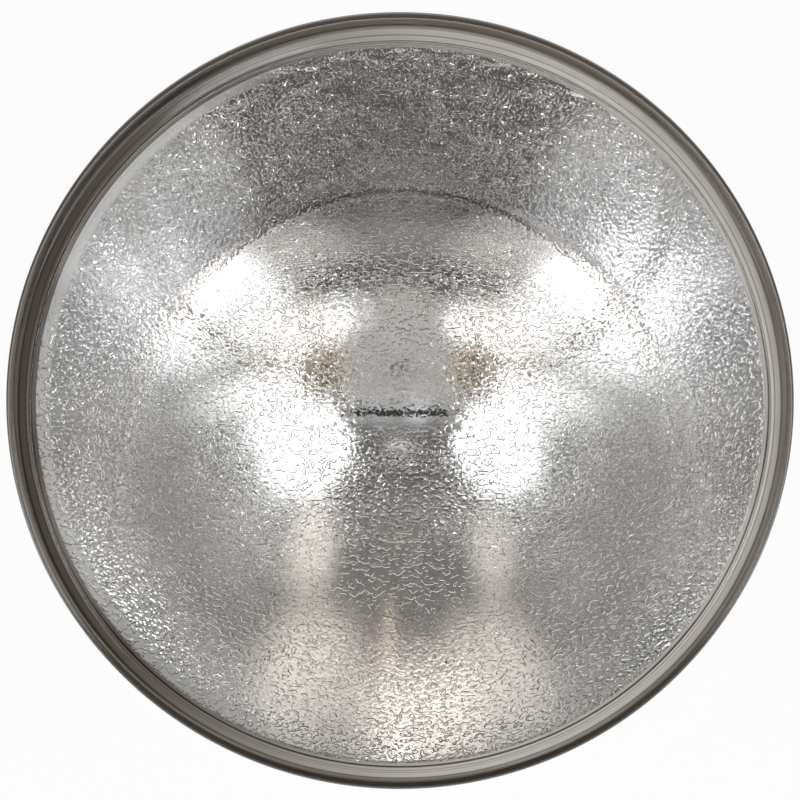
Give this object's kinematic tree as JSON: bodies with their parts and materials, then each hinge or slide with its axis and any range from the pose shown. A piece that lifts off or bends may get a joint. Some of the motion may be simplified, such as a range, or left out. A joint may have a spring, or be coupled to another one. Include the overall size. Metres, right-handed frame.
{
  "type": "par spotlight bulb",
  "caption": "Seven inch sealed beam spotlight bulb with a stippled clear glass lens, an aluminised parabolic glass bowl, a filament seen through the lens and a pronged ceramic base.",
  "frame": {"origin": "centre of the rim's rear seating face, on the lamp's axis", "axes": "+Z along the beam, out through the lens; +X along the filament and across the two contact prongs"},
  "size_m": [0.178, 0.178, 0.1277],
  "materials": {
    "lens_glass": "clear, fine random stipple inside",
    "aluminised_glass": "pressed glass, aluminised inside",
    "tungsten": "dark grey drawn wire",
    "ferrule_metal": "brass-coloured, slightly oxidised",
    "nickel_wire": "warm grey nickel",
    "contact_metal": "nickel plated, satin",
    "rivet_brass": "plain brass",
    "steatite": "unglazed off-white",
    "cement": "matt basing cement"
  },
  "bodies": {
    "root": {"lens": "lens_glass", "reflector": "aluminised_glass", "filament": "tungsten", "filament_leg_left": "tungsten", "filament_leg_right": "tungsten", "ferrule_left": "ferrule_metal", "ferrule_right": "ferrule_metal", "lead_post_left": "nickel_wire", "lead_post_right": "nickel_wire", "lead_strap_left": "nickel_wire", "lead_strap_right": "nickel_wire", "contact_blade_left": "contact_metal", "contact_blade_right": "contact_metal", "contact_rivet_left": "rivet_brass", "contact_rivet_right": "rivet_brass", "base_insulator": "steatite", "base_cement": "cement"}
  },
  "joints": []
}
